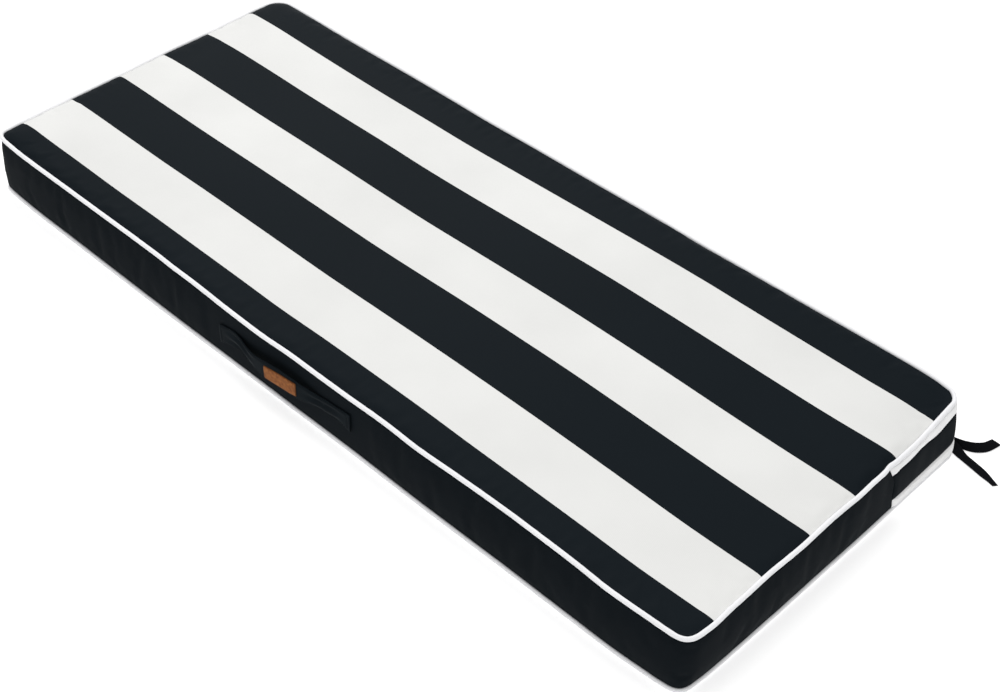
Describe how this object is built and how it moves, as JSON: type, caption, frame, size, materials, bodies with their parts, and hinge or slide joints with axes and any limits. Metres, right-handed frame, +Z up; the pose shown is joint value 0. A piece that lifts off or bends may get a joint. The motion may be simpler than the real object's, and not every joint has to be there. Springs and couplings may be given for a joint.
{
  "type": "bench cushion",
  "caption": "Long filled box cushion for a bench, with piped edges, a striped top, a zip band round the back, a carrying strap on the front and tie tails at a back corner.",
  "frame": {"origin": "middle of the resting face, on the floor, midway between the piping's long and short sides", "axes": "+X along the bench, +Y towards its back, +Z up; the carrying strap is on the -Y side and the tie tails at the +X, +Y corner"},
  "size_m": [1.2677, 0.5639, 0.0975],
  "materials": {
    "striped_cover": "plain woven cloth, black and white bands",
    "white_piping": "woven cloth over a cord",
    "white_cloth": "plain woven cloth",
    "black_cloth": "plain woven cloth",
    "brown_leather": "smooth tanned leather",
    "black_tape": "folded cloth tape"
  },
  "bodies": {
    "root": {"cushion_body": "striped_cover", "top_piping": "white_piping", "bottom_piping": "white_piping", "zip_strip_upper": "white_cloth", "zip_band": "black_cloth", "zip_strip_lower": "white_cloth", "handle_strap": "black_cloth", "handle_label": "brown_leather", "tie_tail_upper": "black_tape", "tie_tail_lower": "black_tape"}
  },
  "joints": []
}
